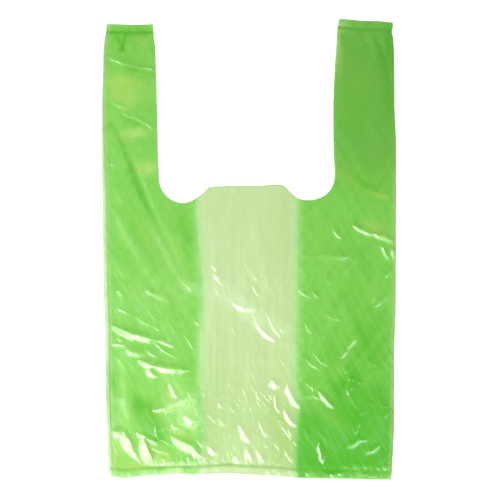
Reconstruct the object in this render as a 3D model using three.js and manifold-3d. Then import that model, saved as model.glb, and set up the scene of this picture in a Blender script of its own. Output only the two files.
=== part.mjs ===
// Vest-style film bag with side gussets, empty and lying flat on its back panel.
// One tube of film: both sides are folded in, the bottom and the two handle tops
// are welded shut, and the neck between the handles is punched out through every ply.
// X runs across the bag, Y from the bottom to the handles, Z up from the surface it lies on.

import * as THREE from 'three';
import { mergeVertices } from 'three/addons/utils/BufferGeometryUtils.js';
import Module from 'manifold-3d';

// Driving dimensions, in millimetres

const BAG_WIDTH = 200;
const BAG_LENGTH = 312;
const GUSSET_DEPTH = 66;
const FILM_THICKNESS = 0.02;

// Air left between neighbouring plies: where the bag is slack, in its welds, and at its cut ends
const SLACK_GAP = 1.2;
const WELD_GAP = 0.05;
const CUT_END_GAP = 0.15;
const SLACK_RISE = 45;

const WELD_WIDTH = 1.2;
const WELD_SKIRT = 5.2;

// The punched neck. Its opening is measured between the handles, at their tops and at their roots
const NECK_TOP_OPENING = 128;
const NECK_ROOT_OPENING = 120.5;
const NECK_DEPTH = 123;
const NECK_SHIFT = -2.3;
const NECK_CORNER_RADIUS = 16.5;
const TAB_HEIGHT = 10.7;
const TAB_CORNER_RADIUS = 5;
const TAB_FLANK_ANGLE = THREE.MathUtils.degToRad(45);

// Where the front panel passes the gusset folds, it sinks onto the back panel over this width
const FRONT_SINK_WIDTH = 9;

const FILM_COLOUR = 0x87d95f;
const FILM_ROUGHNESS = 0.28;

// Fineness of the mesh: segments in a quarter of a fold, stations in a rise and along the slack length
const FOLD_SEGMENTS = 2;
const NECK_SEGMENTS = 8;
const RISE_STATIONS = 4;
const SLACK_STATIONS = 5;

// Derived sizes

const PLY_COUNT = 4;
const FRONT_PLY = PLY_COUNT - 1;
const SUNK_PLY = 1;
const PLY_PITCH = FILM_THICKNESS + SLACK_GAP;
const SIDE_FOLD_X = (BAG_WIDTH - PLY_PITCH - FILM_THICKNESS) / 2;
const GUSSET_TIP_X = BAG_WIDTH / 2 - GUSSET_DEPTH;
const GUSSET_FOLD_X = GUSSET_TIP_X + (PLY_PITCH + FILM_THICKNESS) / 2;
const BOTTOM_Y = -BAG_LENGTH / 2;
const TOP_Y = BAG_LENGTH / 2;
const STACK_HEIGHT = FRONT_PLY * PLY_PITCH + FILM_THICKNESS;

// How far the punch reaches past what it cuts, and how finely heights are told apart
const CUT_CLEARANCE = 1;
const HEIGHT_ROUNDING = 1e-6;

const wasm = await Module();
wasm.setup();

function toSolid(geometry) {
  geometry.deleteAttribute('normal');
  geometry.deleteAttribute('uv');
  const merged = mergeVertices(geometry);
  return new wasm.Manifold(new wasm.Mesh({
    numProp: 3,
    vertProperties: new Float32Array(merged.attributes.position.array),
    triVerts: new Uint32Array(merged.index.array),
  }));
}

function toGeometry(solid) {
  const mesh = solid.getMesh();
  const geometry = new THREE.BufferGeometry();
  geometry.setAttribute('position', new THREE.BufferAttribute(mesh.vertProperties, 3));
  geometry.setIndex(new THREE.BufferAttribute(mesh.triVerts, 1));
  geometry.computeVertexNormals();
  return geometry;
}

// Height of one face of a ply. The outside of the bag is below the even plies and above the odd ones
function faceHeight(ply, outside) {
  const lowerFace = ply % 2 === 0 ? outside : !outside;
  return ply * PLY_PITCH + (lowerFace ? 0 : FILM_THICKNESS);
}

// Fold that joins a ply to the next one up. Side folds bulge outwards, gusset folds towards the middle
function traceFold(path, ply, side, rising, outside) {
  const low = faceHeight(ply, outside);
  const high = faceHeight(ply + 1, outside);
  const isSideFold = ply % 2 === 0;
  const x = side * (isSideFold ? SIDE_FOLD_X : GUSSET_FOLD_X);
  const bulgesRight = isSideFold === (side > 0);
  const startAngle = rising ? -Math.PI / 2 : Math.PI / 2;
  const clockwise = bulgesRight !== rising;
  path.absarc(x, (low + high) / 2, (high - low) / 2, startAngle, -startAngle, clockwise);
}

// One face of the film, traced all the way round the tube
function traceTube(path, outside) {
  const frontHeight = faceHeight(FRONT_PLY, outside);
  const sunkHeight = faceHeight(SUNK_PLY, outside);
  const sunkX = GUSSET_TIP_X - FRONT_SINK_WIDTH;
  path.moveTo(0, faceHeight(0, outside));
  for (let ply = 0; ply < FRONT_PLY; ply += 1) {
    traceFold(path, ply, 1, true, outside);
  }
  path.lineTo(GUSSET_TIP_X, frontHeight);
  path.lineTo(sunkX, sunkHeight);
  path.lineTo(-sunkX, sunkHeight);
  path.lineTo(-GUSSET_TIP_X, frontHeight);
  for (let ply = FRONT_PLY - 1; ply >= 0; ply -= 1) {
    traceFold(path, ply, -1, false, outside);
  }
  path.closePath();
  return path;
}

// Outline of the whole stack of plies, which a weld fuses into one
function stackShape() {
  const x = BAG_WIDTH / 2 - FILM_THICKNESS;
  const sunkX = GUSSET_TIP_X - FRONT_SINK_WIDTH;
  const sunkHeight = faceHeight(SUNK_PLY, true);
  return new THREE.Shape([
    new THREE.Vector2(-x, 0),
    new THREE.Vector2(x, 0),
    new THREE.Vector2(x, STACK_HEIGHT),
    new THREE.Vector2(GUSSET_TIP_X, STACK_HEIGHT),
    new THREE.Vector2(sunkX, sunkHeight),
    new THREE.Vector2(-sunkX, sunkHeight),
    new THREE.Vector2(-GUSSET_TIP_X, STACK_HEIGHT),
    new THREE.Vector2(-x, STACK_HEIGHT),
  ]);
}

// The welds lie one skirt in from each cut end
const BOTTOM_WELD = { start: BOTTOM_Y + WELD_SKIRT, end: BOTTOM_Y + WELD_SKIRT + WELD_WIDTH };
const TOP_WELD = { start: TOP_Y - WELD_SKIRT - WELD_WIDTH, end: TOP_Y - WELD_SKIRT };

// Air gap between plies at a place along the bag
function gapAt(y) {
  if (y < BOTTOM_WELD.start || y > TOP_WELD.end) {
    return CUT_END_GAP;
  }
  const fromWeld = Math.min(y - BOTTOM_WELD.end, TOP_WELD.start - y);
  return WELD_GAP + (SLACK_GAP - WELD_GAP) * THREE.MathUtils.smoothstep(fromWeld, 0, SLACK_RISE);
}

// Height after the plies have settled to a given gap: the film keeps its thickness and the air gives way
function settledHeight(height, gap) {
  const ply = Math.floor(height / PLY_PITCH + HEIGHT_ROUNDING);
  const above = height - ply * PLY_PITCH;
  const film = Math.min(above, FILM_THICKNESS);
  const air = (above - film) * (gap / SLACK_GAP);
  return ply * (FILM_THICKNESS + gap) + film + air;
}

function between(start, end, count) {
  return Array.from({ length: count }, (_, index) => start + ((end - start) * (index + 1)) / (count + 1));
}

// Places along the bag where its section is set
function tubeStations() {
  const slackStart = BOTTOM_WELD.end + SLACK_RISE;
  const slackEnd = TOP_WELD.start - SLACK_RISE;
  return [
    BOTTOM_Y,
    BOTTOM_WELD.start,
    BOTTOM_WELD.end,
    ...between(BOTTOM_WELD.end, slackStart, RISE_STATIONS),
    slackStart,
    ...between(slackStart, slackEnd, SLACK_STATIONS),
    slackEnd,
    ...between(slackEnd, TOP_WELD.start, RISE_STATIONS),
    TOP_WELD.start,
    TOP_WELD.end,
    TOP_Y,
  ];
}

// A section drawn in X and Z, carried along the given stations and settled at each of them
function sweepAlong(shape, stations) {
  const steps = stations.length - 1;
  const geometry = new THREE.ExtrudeGeometry(shape, {
    depth: steps,
    steps,
    bevelEnabled: false,
    curveSegments: FOLD_SEGMENTS,
  });
  const position = geometry.attributes.position;
  for (let index = 0; index < position.count; index += 1) {
    const y = stations[steps - Math.round(position.getZ(index))];
    const height = settledHeight(position.getY(index), gapAt(y));
    position.setXYZ(index, position.getX(index), y, height);
  }
  return toSolid(geometry);
}

function filmTube() {
  const section = traceTube(new THREE.Shape(), true);
  section.holes.push(traceTube(new THREE.Path(), false));
  return sweepAlong(section, tubeStations());
}

function weldBar(weld) {
  return sweepAlong(stackShape(), [weld.start, weld.end]);
}

// One half of the neck, from the handle's top down its inner edge, round the corner and up onto the tab
function traceNeckHalf(shape) {
  const rise = 1 - Math.cos(TAB_FLANK_ANGLE);
  const corners = (NECK_CORNER_RADIUS + TAB_CORNER_RADIUS) * rise;
  const flank = (TAB_HEIGHT - corners) / Math.sin(TAB_FLANK_ANGLE);
  const lowest = TOP_Y - NECK_DEPTH;
  const cornerX = NECK_ROOT_OPENING / 2 - NECK_CORNER_RADIUS;
  const across = (NECK_CORNER_RADIUS + TAB_CORNER_RADIUS) * Math.sin(TAB_FLANK_ANGLE);
  const tabX = cornerX - across - flank * Math.cos(TAB_FLANK_ANGLE);
  const tabY = lowest + TAB_HEIGHT - TAB_CORNER_RADIUS;
  const turnIn = -Math.PI / 2 - TAB_FLANK_ANGLE;
  const turnOut = Math.PI / 2 - TAB_FLANK_ANGLE;
  shape.absarc(cornerX, lowest + NECK_CORNER_RADIUS, NECK_CORNER_RADIUS, 0, turnIn, true);
  shape.absarc(tabX, tabY, TAB_CORNER_RADIUS, turnOut, Math.PI / 2, false);
}

// The punch goes through every ply and past both faces of the stack
function neckPunch() {
  const half = new THREE.Shape();
  traceNeckHalf(half);
  const right = half.getPoints(NECK_SEGMENTS);
  const left = right.map((point) => new THREE.Vector2(-point.x, point.y)).reverse();
  const topX = NECK_TOP_OPENING / 2;
  const topY = TOP_Y + CUT_CLEARANCE;
  const outline = new THREE.Shape([
    new THREE.Vector2(topX, topY),
    ...right,
    ...left,
    new THREE.Vector2(-topX, topY),
  ]);
  const geometry = new THREE.ExtrudeGeometry(outline, {
    depth: STACK_HEIGHT + 2 * CUT_CLEARANCE,
    bevelEnabled: false,
  });
  geometry.translate(NECK_SHIFT, 0, -CUT_CLEARANCE);
  return toSolid(geometry);
}

function bagGeometry() {
  const welded = filmTube().add(weldBar(BOTTOM_WELD)).add(weldBar(TOP_WELD));
  return toGeometry(welded.subtract(neckPunch()));
}

const film = new THREE.MeshStandardMaterial({
  color: FILM_COLOUR,
  roughness: FILM_ROUGHNESS,
  metalness: 0,
});

const bag = new THREE.Mesh(bagGeometry(), film);
bag.name = 'bag';

const group = new THREE.Group();
group.add(bag);

export default group;
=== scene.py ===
# Vest-style film bag with side gussets, empty, creased and lying flat on a white surface.
# The film is one closed mesh: four plies joined at the folds, each with its real thickness.
# Lengths are in millimetres until the mesh is made. X runs across the bag, Y from the bottom
# to the handles, Z up from the surface the bag lies on.

import math

import bpy
import numpy as np
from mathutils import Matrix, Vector
from mathutils.bvhtree import BVHTree
from mathutils.geometry import delaunay_2d_cdt
from mathutils.kdtree import KDTree


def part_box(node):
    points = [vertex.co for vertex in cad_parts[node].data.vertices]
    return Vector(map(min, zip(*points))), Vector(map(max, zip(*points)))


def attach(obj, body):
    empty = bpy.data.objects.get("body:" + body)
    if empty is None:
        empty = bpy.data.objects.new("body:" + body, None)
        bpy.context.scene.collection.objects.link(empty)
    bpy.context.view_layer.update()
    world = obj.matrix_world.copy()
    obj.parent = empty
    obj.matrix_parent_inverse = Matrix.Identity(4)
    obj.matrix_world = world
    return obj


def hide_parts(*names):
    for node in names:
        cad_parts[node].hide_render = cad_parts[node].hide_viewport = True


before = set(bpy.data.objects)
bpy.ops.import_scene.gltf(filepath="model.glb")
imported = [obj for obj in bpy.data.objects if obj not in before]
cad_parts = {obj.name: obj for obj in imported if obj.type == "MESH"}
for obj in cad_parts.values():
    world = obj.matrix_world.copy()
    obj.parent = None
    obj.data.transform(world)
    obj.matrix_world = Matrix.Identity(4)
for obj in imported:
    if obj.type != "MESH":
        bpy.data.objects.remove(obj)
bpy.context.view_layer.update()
bag_low, bag_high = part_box("bag")
scene = bpy.context.scene

# Driving dimensions, as in the CAD model

MM = 0.001
SIDE_X = bag_high.x / MM
BOTTOM_Y = bag_low.y / MM
TOP_Y = bag_high.y / MM
GUSSET_DEPTH = 66
FILM_THICKNESS = 0.02
WELD_WIDTH = 1.2
WELD_SKIRT = 5.2
NECK_TOP_OPENING = 128
NECK_ROOT_OPENING = 120.5
NECK_DEPTH = 123
NECK_SHIFT = -2.3
NECK_CORNER_RADIUS = 16.5
TAB_HEIGHT = 10.7
TAB_CORNER_RADIUS = 5
TAB_FLANK_ANGLE = math.radians(45)

TIP_X = SIDE_X - GUSSET_DEPTH
BOTTOM_WELD = BOTTOM_Y + WELD_SKIRT + WELD_WIDTH / 2
TOP_WELD = TOP_Y - WELD_SKIRT - WELD_WIDTH / 2

# How the plies stand off the surface: over the gussets, in the middle, at the sides, in a weld and past it
GUSSET_LOFT = 1.8
MIDDLE_LOFT = 0.9
SIDE_LOFT = 0.8
WELD_LOFT = 0.22
SKIRT_LOFT = 0.5
LEAST_LOFT = 0.2
LOFT_SOFTNESS = 0.12
SLACK_RISE = 38
SINK_WIDTH = 22
SIDE_EASE = 16
FOLD_RADIUS = 4
PARTED_WIDTH = 5.5
REST_GAP = 0.03

# Share of a crease that a weld lets stand, and how far off the weld it stands in full
WELD_RELIEF = 0.12
RELIEF_RISE = 1.4

# Shares of the front panel's height: the waves of the gussets' plies, and how far the back panel stands off
PLY_WAVE = 0.08
BACK_STAND = 0.04

# Fineness of the mesh
FRONT_SPACING = 1.6
CREASE_SPACING = 1.0
CREASE_CLEARANCE = 0.5
CREASE_ANGLE = 50
HIDDEN_SPACING = 4
FOLD_SPACING = 1.6
TIP_SPACING = 2.6
NOSE_ROWS = (0.25, 0.9, 2.0)
WELD_ROWS = (-1.5, -0.6, 0.6, 1.5)
WELD_ROW_SPACING = 1.1
OUTLINE_SPACING = 0.4
OUTLINE_CLEARANCE = 0.2
LATTICE_CLEARANCE = 0.6
ARC_POINTS = 24
MERGE_DISTANCE = 1e-5
ON_FOLD = 1e-4

# Creases kink this often, and stray this far at most
KINK_SPACING = 3.0
KINK_SIZE = 0.4

# A crease is steepest at its ridge, by this power, unless it is wider than the flat ones start at.
# It narrows to this share at its ends, and at full shine it is at least this steep
CREASE_BEND = 1.4
FLAT_WIDTH = 3.3
END_BREADTH = 0.12
LEAST_STEEPNESS = 0.1

# How the bag lies: how far its outline strays from straight, by place along the bag or across it
LEFT_BOW = (
    (-157, -147, -125, -97, -56, -28, 34, 62, 98, 122, 138, 145, 149, 155),
    (3.2, 2.9, 2.2, 1, 0.8, -0.4, -1.1, -1.8, -1.7, -0.7, -0.4, 0.3, 1.2, 1.7),
)
RIGHT_BOW = (
    (-158, -148, -138, -125, -69, -42, 0, 41, 73, 98, 136, 145, 149.4, 153, 157),
    (-1.7, -1.1, -0.5, 0.2, 0.4, 1.5, 1.6, 1.7, 1.6, 0.4, 0.2, -0.3, -1.4, -0.5, -0.9),
)
BOTTOM_BOW = (
    (-97, -89, -75, -67, -53, -34, -16, 1, 20, 35, 70, 86, 99),
    (-1.2, -2.2, -0.6, -0.1, 0.6, 0.5, 1.7, 0.6, -0.2, -1.8, -2.5, -3, -3),
)
TOP_BOW = (
    (-98, -82, -76, -67, 64, 71, 78, 91, 99),
    (-0.4, -1, -0.9, -0.6, 3, 2.3, 1.6, 1.4, 0.5),
)
LEFT_TIP_BOW = (
    (-150, -130, -110, -90, -70, -40, -20, 0, 32),
    (0.5, 2.6, 2.4, 0.9, 0.9, 3.2, 3.2, 0.9, -1.5),
)
RIGHT_TIP_BOW = (
    (-150, -130, -110, -90, -65, -45, -10, 35),
    (-1.8, -2, 0, -2.2, -2.8, -2.2, -1.9, -1.4),
)
NECK_LEFT_BOW = ((45, 70, 78, 92, 120, 140, 147, 155), (0.6, 0.6, 0.8, 1.1, 1.15, 1.4, 0.4, -0.1))
NECK_RIGHT_BOW = (
    (45, 52, 58, 65, 78, 88, 100, 112, 126, 140, 148, 155),
    (1, 1.1, 0.6, -0.2, -0.8, -1.2, -1.6, -1.55, -1.35, -0.9, -0.7, 0.4),
)
NECK_TILT = 0.0165

# Where those bows and the tilt take hold, across the bag or along it
SIDE_BOW_START = 55
BOTTOM_BOW_START = -95
TOP_BOW_START = 100
TIP_BOW_SPREAD = 11
TIP_BOW_RISE = (60, 30)
NECK_BOW_RISE = (30, 48)
NECK_BOW_INNER = (40, 60)
NECK_BOW_OUTER = 64
NECK_TILT_MIDDLE = 38
NECK_TILT_SPREAD = 45
NECK_TILT_REACH = 65

# Places round the neck where the film is drawn aside: middle, spread and pull
NECK_PULLS = [
    ((-58, 40), (5, 10), (0.5, 0)),
    ((-43, 33), (7, 7), (0.3, -0.45)),
    ((-35, 42), (8, 7), (2.6, 0)),
    ((-14, 44), (8, 8), (0, 0.35)),
    ((18, 44), (7, 8), (0.3, 0.8)),
    ((31, 38), (7, 8), (0.9, 0.3)),
    ((52, 38), (7, 9), (0.6, -0.1)),
]

# The front pair of plies is slipped sideways on the back pair, so the back pair shows along the left side
LEFT_SLIP = ((-156, -40, 50, 110), (2.0, 2.4, 2.2, 0.0))
SLIP_START = -60

# Softboxes: middle, length, height and power. A crease turns its lit side to mirror a softbox to the camera
SOFTBOXES = {
    "long_softbox": ((-855, -780, 1400), 1900, 600, 76),
    "short_softbox": ((560, -970, 1400), 1000, 500, 12),
}
CAMERA_HEIGHT = 958


def smooth(value, start, end):
    share = np.clip((value - start) / (end - start), 0, 1)
    return share * share * (3 - 2 * share)


# The flat pattern


def resample(path, spacing):
    """Even points along a path, with both its ends."""
    path = np.asarray(path, float)
    steps = np.linalg.norm(np.diff(path, axis=0), axis=1)
    reached = np.concatenate([[0], np.cumsum(steps)])
    count = max(2, int(round(reached[-1] / spacing)) + 1)
    places = np.linspace(0, reached[-1], count)
    return np.column_stack([np.interp(places, reached, path[:, axis]) for axis in (0, 1)])


def arc(centre, radius, first, last):
    angles = np.linspace(first, last, ARC_POINTS)
    return np.column_stack([centre[0] + radius * np.cos(angles), centre[1] + radius * np.sin(angles)])


def neck_path():
    """The punched neck, from the right handle's top to the left handle's top."""
    turned = 1 - math.cos(TAB_FLANK_ANGLE)
    corners = (NECK_CORNER_RADIUS + TAB_CORNER_RADIUS) * turned
    flank = (TAB_HEIGHT - corners) / math.sin(TAB_FLANK_ANGLE)
    lowest = TOP_Y - NECK_DEPTH
    corner_x = NECK_ROOT_OPENING / 2 - NECK_CORNER_RADIUS
    across = (NECK_CORNER_RADIUS + TAB_CORNER_RADIUS) * math.sin(TAB_FLANK_ANGLE)
    tab_x = corner_x - across - flank * math.cos(TAB_FLANK_ANGLE)
    tab_y = lowest + TAB_HEIGHT - TAB_CORNER_RADIUS
    half = np.vstack([
        [[NECK_TOP_OPENING / 2, TOP_Y]],
        arc((corner_x, lowest + NECK_CORNER_RADIUS), NECK_CORNER_RADIUS, 0, -math.pi / 2 - TAB_FLANK_ANGLE),
        arc((tab_x, tab_y), TAB_CORNER_RADIUS, math.pi / 2 - TAB_FLANK_ANGLE, math.pi / 2),
    ])
    other = half[::-1] * (-1, 1)
    return np.vstack([half, other]) + (NECK_SHIFT, 0)


NECK = neck_path()


def side_fold(side):
    return resample([(side * SIDE_X, BOTTOM_Y), (side * SIDE_X, TOP_Y)], FOLD_SPACING)


def neck_beside_gusset(side):
    """The part of the neck over one gusset, from the handle's top to the gusset's tip."""
    half = NECK if side > 0 else NECK[::-1]
    outside = side * half[:, 0] > TIP_X
    count = int(np.argmin(outside))
    before, after = half[count - 1], half[count]
    share = (side * TIP_X - before[0]) / (after[0] - before[0])
    return np.vstack([half[:count], before + share * (after - before)])


def tip_fold(side):
    top = neck_beside_gusset(side)[-1]
    return resample([(side * TIP_X, BOTTOM_Y), top], TIP_SPACING)


def cut_edges(spacing):
    """The bottom cut, the right handle's top, the neck and the left handle's top."""
    paths = (
        [(-SIDE_X, BOTTOM_Y), (SIDE_X, BOTTOM_Y)],
        [(SIDE_X, TOP_Y), NECK[0]],
        NECK,
        [NECK[-1], (-SIDE_X, TOP_Y)],
    )
    return [resample(path, spacing) for path in paths]


def panel_outline(spacing):
    """Outline of the front or back panel, anticlockwise from the bottom left corner."""
    bottom, right_top, neck, left_top = cut_edges(spacing)
    around = (bottom, side_fold(1), right_top, neck, left_top, side_fold(-1)[::-1])
    return np.vstack([edge[:-1] for edge in around])


def gusset_outline(side, spacing):
    neck = neck_beside_gusset(side)
    around = np.vstack([
        resample([(side * TIP_X, BOTTOM_Y), (side * SIDE_X, BOTTOM_Y)], spacing)[:-1],
        side_fold(side)[:-1],
        resample([(side * SIDE_X, TOP_Y), neck[0]], spacing)[:-1],
        resample(neck, spacing)[:-1],
        tip_fold(side)[::-1][:-1],
    ])
    return around if side > 0 else around[::-1]


def inside_neck(x, y):
    """True for places in the punched neck, on the flat pattern."""
    right_x = np.interp(y, NECK[1::-1, 1], NECK[1::-1, 0])
    left_x = np.interp(y, NECK[-2:, 1], NECK[-2:, 0])
    bottom = np.interp(x, NECK[::-1, 0], NECK[::-1, 1])
    return (x < right_x) & (x > left_x) & (y > bottom)


def near_tree(points):
    tree = KDTree(len(points))
    for index, point in enumerate(points):
        tree.insert((point[0], point[1], 0), index)
    tree.balance()
    return tree


def gaps_to(tree, points):
    return np.array([tree.find((point[0], point[1], 0))[2] for point in points])


def lattice(spacing, low_x, high_x):
    """Points on a triangular lattice."""
    row_height = spacing * math.sqrt(3) / 2
    rows = np.arange(BOTTOM_Y + row_height, TOP_Y, row_height)
    columns = np.arange(low_x, high_x, spacing)
    x, y = np.meshgrid(columns, rows)
    x = x + (np.arange(len(rows)) % 2 * spacing / 2)[:, None]
    return np.column_stack([x.ravel(), y.ravel()])


def triangulate(outline, inner):
    points = [Vector(point) for point in np.vstack([outline, inner])]
    border = list(range(len(outline)))
    found = delaunay_2d_cdt(points, [], [border], 1, MERGE_DISTANCE)
    return np.array([tuple(point) for point in found[0]]), np.array(found[2])


def thinned(points, clearance):
    """Points without those that crowd an earlier one."""
    cells = np.floor(points / clearance).astype(np.int64)
    _, first = np.unique(cells[:, 0] * 100000 + cells[:, 1], return_index=True)
    return points[np.sort(first)]


def crease_rows():
    """Places on the flat pattern of the front panel's creases."""
    rows = np.vstack([crease.rows() for crease in CREASES])
    flat = rows.copy()
    for _ in range(3):
        lies = np.column_stack(lie(*flat.T))
        lies[:, 0] += slip(*flat.T)
        flat += rows - lies
    return thinned(flat, CREASE_CLEARANCE)


def ply_mesh(outline, spacing, low_x, high_x, fold_xs, details=None):
    """Flat mesh of one ply: close rows beside its folds, welds and creases, a lattice elsewhere."""
    tree = near_tree(resample(np.vstack([outline, outline[:1]]), OUTLINE_SPACING))
    rows = []
    fold_y = side_fold(1)[1:-1, 1]
    for fold_x in fold_xs:
        inward = 1 if fold_x < (low_x + high_x) / 2 else -1
        for offset in NOSE_ROWS:
            rows.append(np.column_stack([np.full(len(fold_y), fold_x + inward * offset), fold_y]))
    for weld in (BOTTOM_WELD, TOP_WELD):
        for offset in WELD_ROWS:
            across = np.arange(low_x, high_x, max(WELD_ROW_SPACING, spacing / 2))
            rows.append(np.column_stack([across, np.full(len(across), weld + offset)]))
    rows = np.vstack(rows)
    filling = lattice(spacing, low_x, high_x)
    if details is not None:
        by_rows = gaps_to(near_tree(rows), details)
        details = details[by_rows > CREASE_CLEARANCE]
        rows = np.vstack([rows, details])
        filling = filling[gaps_to(near_tree(details), filling) > spacing * LATTICE_CLEARANCE]
    clear = np.full(len(filling), True)
    for fold_x in fold_xs:
        clear &= abs(filling[:, 0] - fold_x) > NOSE_ROWS[-1] + spacing / 2
    for weld in (BOTTOM_WELD, TOP_WELD):
        clear &= abs(filling[:, 1] - weld) > WELD_ROWS[-1] + spacing / 2
    inner = np.vstack([rows, filling[clear]])
    kept = ~inside_neck(inner[:, 0], inner[:, 1])
    kept &= (inner[:, 0] > low_x) & (inner[:, 0] < high_x)
    inner = inner[kept]
    gaps = gaps_to(tree, inner)
    is_row = np.arange(len(inner)) < kept[:len(rows)].sum()
    limit = np.where(is_row, OUTLINE_CLEARANCE, spacing / 2)
    return triangulate(outline, inner[gaps > limit])


# How the pattern lies


def lie(x, y):
    """Where a place of the flat pattern comes to lie."""
    moved_x = x
    for side, bow in ((-1, LEFT_BOW), (1, RIGHT_BOW)):
        moved_x = moved_x + smooth(x, side * SIDE_BOW_START, side * SIDE_X) * np.interp(y, *bow)
    below_neck = smooth(y, *TIP_BOW_RISE)
    for side, bow in ((-1, LEFT_TIP_BOW), (1, RIGHT_TIP_BOW)):
        by_tip = np.exp(-(((x - side * TIP_X) / TIP_BOW_SPREAD) ** 2)) * below_neck
        moved_x = moved_x + by_tip * np.interp(y, *bow)
    by_neck_edge = smooth(y, *NECK_BOW_RISE) * smooth(abs(x), SIDE_X, NECK_BOW_OUTER)
    by_neck_edge = by_neck_edge * smooth(abs(x), *NECK_BOW_INNER)
    neck_bow = np.where(x < 0, np.interp(y, *NECK_LEFT_BOW), np.interp(y, *NECK_RIGHT_BOW))
    moved_x = moved_x + by_neck_edge * neck_bow
    low = smooth(y, BOTTOM_BOW_START, BOTTOM_Y)
    high = smooth(y, TOP_BOW_START, TOP_Y)
    by_neck = np.exp(-(((y - NECK_TILT_MIDDLE) / NECK_TILT_SPREAD) ** 2))
    by_neck = by_neck * np.clip(x, -NECK_TILT_REACH, NECK_TILT_REACH)
    moved_y = y + low * np.interp(x, *BOTTOM_BOW) + high * np.interp(x, *TOP_BOW) + by_neck * NECK_TILT
    for middle, spread, pull in NECK_PULLS:
        held = np.exp(-(((x - middle[0]) / spread[0]) ** 2) - ((y - middle[1]) / spread[1]) ** 2)
        moved_x = moved_x + held * pull[0]
        moved_y = moved_y + held * pull[1]
    return moved_x, moved_y


def slip(x, y):
    """How far the front pair of plies is slipped to the right, near the left side."""
    return smooth(x, SLIP_START, -SIDE_X) * np.interp(y, *LEFT_SLIP)


# Areas where the plies cling together and look deeper, or part and look paler, with painted shade over
# the right handle, over the lower right and in dark lines beside folds, and painted highlights as pale
# patches
# round glints: x and y of the middle, half length, half width, lean in degrees, strength
CLING_AND_PAINTED_LIGHT_AREAS = [
    # right side, with painted shade over the lower right
    (74, -122, 38, 30, 10, 1),
    (94, -142, 16, 9, 85, 0.3),
    (42, -126, 16, 9, 90, 0.3),
    (44, -104, 12, 9, 0, -0.3),
    (68, -92, 9, 8, 0, 0.5),
    (78, -141, 14, 7, 0, 0.4),
    (50, -146, 26, 9, 0, 0.5),
    (56, -150, 7, 6, 0, 0.7),
    (84, -58, 26, 12, -70, 0.3),
    (72, -72, 22, 16, 0, 0.3),
    (96, -16, 24, 6, 90, 0.15),
    (68, -40, 44, 28, 90, 0.2),
    (82, -14, 12, 5, 90, 0.25),
    (77, 47, 15, 1.8, -35.5, 0.7),
    # right handle, with painted shade over the handle and along its dark fold lines
    (80, 110, 74, 44, 90, 0.8),
    (93, 122, 26, 2, -80, 0.5),
    (98, 132, 26, 3.5, 91, 0.8),
    (61, 138, 18, 2.2, 93, -1.6),
    (64, 154, 5, 4, 0, -1.2),
    # left handle
    (-76, 123, 12, 1.2, -13, 0.8),
    (-87, 140.5, 5.5, 0.8, 71, 1.5),
    (-77, 87, 14, 1.6, -25, 0.5),
    (-82, 149, 18, 6, 0, 0.4),
    (-91, 144, 6, 5, 0, 0.3),
    (-84, 62, 26, 1.8, -67, 0.6),
    (-84, 103, 16, 3, 0, -0.3),
    (-78, 80, 10, 4, 8, -0.7),
    (-96, 70, 34, 4, 92, 0.1),
    (-69, 56, 6, 5, 0, -0.6),
    (-88, 62, 8, 4, -80, -0.4),
    # left side, with painted highlights where the film is paler round glints
    (-64, 16, 36, 1.8, -63, 0.65),
    (-45, 12, 15, 4.5, -77, 0.4),
    (-92, -28, 24, 5, 90, 0.3),
    (-98, -10, 110, 3, 90, 0.2),
    (-70, 10, 36, 24, 90, 0.15),
    (-84, 8, 24, 3.4, -60, -0.55),
    (-87, 14, 20, 3, -60, -0.1),
    (-77, 18, 20, 3.4, -62, 0.2),
    (-41, -108, 12, 5, 80, -0.7),
    (-58, 2, 28, 4.5, -63, -0.8),
    (-66, -45, 50, 30, 90, -0.2),
    (-54, -32, 16, 8, -50, -0.15),
    (-78, -30, 12, 7, -50, -0.25),
    (-95, -98, 30, 5, 90, 0.5),
    (-68, -119, 17, 6, -58, 1.7),
    (-77, -96, 14, 4, -80, 0.1),
    (-86, -98, 24, 2.5, -84, -0.5),
    (-66, -86, 16, 6, -40, -0.1),
    (-47, -112, 15, 9, -40, -0.8),
    (-51, -93, 9, 6, -60, -0.5),
    (-71, -107, 6, 8, 90, 0.3),
    (-92, -139, 6, 6, 0, 0.3),
    (-63, -135, 7, 4, 0, -0.4),
    (-50, -152.5, 5, 3, 0, -1.1),
    (-38, -148.5, 3.5, 2.5, 0, -1.2),
    (-37, -120, 14, 4, 85, -0.6),
    (-41, -27, 5, 4, -40, -0.8),
    (-90, 62, 24, 6, 90, 0.15),
    (-56, -146, 18, 7, 0, -0.6),
    (-80, -137, 9, 6, 0, -0.3),
    (-88, -145, 8, 6, 0, 0.3),
    # middle
    (0, -118, 44, 32, 90, 0.6),
    (20, -128, 26, 6, 90, 0.7),
    (-2, -42, 24, 6, -38, -0.8),
    (28, -130, 34, 9, 90, 0.8),
    (25, 0, 60, 9, 90, 0.4),
    (-28, -128, 30, 8, 90, 0.8),
]

# Areas with a yellow cast
SALLOW_AREAS = [
    (-83, 112, 13, 9, 0, 0.8),
    (-92, 113, 7, 9, 0, 0.5),
    (-84, 97, 7, 3, 20, 0.6),
    (-79, 80, 10, 3.5, 8, 0.9),
    (-71, 56, 6, 4.5, 0, 0.9),
    (-70, 6, 26, 4, -62, 0.4),
    (-48, -2, 15, 4, -62, 0.4),
    (-70, -112, 40, 30, 90, 0.3),
    (-73, 144, 8, 4, 0, 0.4),
    (-84, 103, 14, 3, 0, 0.3),
    (-92, -140, 9, 8, 0, 0.6),
    (-63, -142, 10, 5, -20, 0.6),
    (-80, -150, 16, 4, 0, 0.8),
    (-46, -128, 10, 3, -30, 0.6),
    (88, 14, 13, 5, -20, 0.7),
    (92, 36.5, 8, 2, -18, 0.8),
    (70, 50, 16, 5, -35, 0.35),
    (60, -118, 14, 5, -35, 0.3),
    (66, -76, 16, 4, 60, 0.3),
    (80, 110, 60, 40, 90, 0.3),
]


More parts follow.
